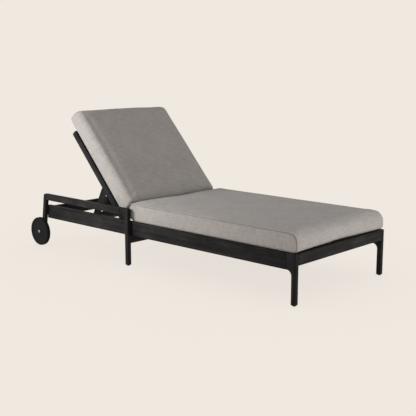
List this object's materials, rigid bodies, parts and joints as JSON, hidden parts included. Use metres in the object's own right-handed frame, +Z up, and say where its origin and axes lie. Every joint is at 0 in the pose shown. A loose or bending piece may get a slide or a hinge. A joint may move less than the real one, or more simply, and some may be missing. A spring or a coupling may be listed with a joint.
{
  "type": "reclining sun lounger",
  "caption": "Low slatted timber sun lounger with side rails on legs, a hinged backrest held by a prop and racks, wheels at the head end, and a seat cushion and back cushion.",
  "frame": {"origin": "on the floor, under the middle of the lounger's overall length and width", "axes": "+Z up, +Y towards the head end and the wheels, -Y towards the foot end, +X towards the left hand of somebody lying on it"},
  "size_m": [0.8824, 2.006, 0.8272],
  "materials": {
    "stained_wood": "near-black stained hardwood, fine open grain, satin",
    "cushion_fabric": "grey-taupe plain-woven outdoor fabric",
    "tyre_rubber": "matt black rubber",
    "black_plastic": "moulded matt black nylon",
    "black_steel": "black oxide, satin",
    "stainless_steel": "satin stainless"
  },
  "bodies": {
    "frame": {"foot_leg_left": "stained_wood", "foot_leg_right": "stained_wood", "side_rail_left": "stained_wood", "side_rail_right": "stained_wood", "post_left": "stained_wood", "post_right": "stained_wood", "upper_rail_left": "stained_wood", "upper_rail_right": "stained_wood", "rear_leg_left": "stained_wood", "rear_leg_right": "stained_wood", "seat_ledger_left": "stained_wood", "seat_ledger_right": "stained_wood", "prop_rack_left": "stained_wood", "prop_rack_right": "stained_wood", "foot_glide_left": "black_plastic", "foot_glide_right": "black_plastic", "post_glide_left": "black_plastic", "post_glide_right": "black_plastic", "axle_bolt_left": "stainless_steel", "axle_bolt_right": "stainless_steel", "axle_washer_left": "stainless_steel", "axle_washer_right": "stainless_steel", "back_pivot_bolt_left": "black_steel", "back_pivot_bolt_right": "black_steel", "foot_rail": "stained_wood", "middle_cross_beam": "stained_wood", "rear_cross_rail": "stained_wood", "seat_cushion": "cushion_fabric", "seat_slat_1": "stained_wood", "seat_slat_2": "stained_wood", "seat_slat_3": "stained_wood", "seat_slat_4": "stained_wood", "seat_slat_5": "stained_wood", "seat_slat_6": "stained_wood", "seat_slat_7": "stained_wood", "seat_slat_8": "stained_wood", "seat_slat_9": "stained_wood", "seat_slat_10": "stained_wood"},
    "backrest": {"back_stile_left": "stained_wood", "back_stile_right": "stained_wood", "back_bottom_rail": "stained_wood", "back_top_rail": "stained_wood", "back_slat_1": "stained_wood", "back_slat_2": "stained_wood", "back_slat_3": "stained_wood", "back_slat_4": "stained_wood", "back_slat_5": "stained_wood", "prop_pivot_bolt_left": "stainless_steel", "prop_pivot_bolt_right": "stainless_steel", "back_cushion": "cushion_fabric"},
    "prop": {"prop_arm_left": "stained_wood", "prop_arm_right": "stained_wood", "prop_rail": "stained_wood", "prop_bar": "black_steel"},
    "wheel_left": {"wheel_tyre_left": "tyre_rubber", "wheel_disc_left": "stained_wood", "wheel_bush_left": "black_plastic"},
    "wheel_right": {"wheel_tyre_right": "tyre_rubber", "wheel_disc_right": "stained_wood", "wheel_bush_right": "black_plastic"}
  },
  "joints": [
    {"name": "back_recline", "type": "hinge", "parent": "frame", "child": "backrest", "pos_m": [0, 0.205, 0.231], "axis": [1, 0, 0], "range_deg": [-48, 6]},
    {"name": "prop_swing", "type": "hinge", "parent": "backrest", "child": "prop", "pos_m": [0, 0.40216, 0.42756], "axis": [1, 0, 0], "range_deg": [-13.37, 106.86]},
    {"name": "wheel_left_spin", "type": "hinge", "parent": "frame", "child": "wheel_left", "pos_m": [0.426, 0.917, 0.086], "axis": [1, 0, 0], "continuous": true},
    {"name": "wheel_right_spin", "type": "hinge", "parent": "frame", "child": "wheel_right", "pos_m": [-0.426, 0.917, 0.086], "axis": [1, 0, 0], "continuous": true}
  ],
  "couplings": [
    {"joint": "prop_swing", "follows": "back_recline", "ratio": -2.226}
  ]
}
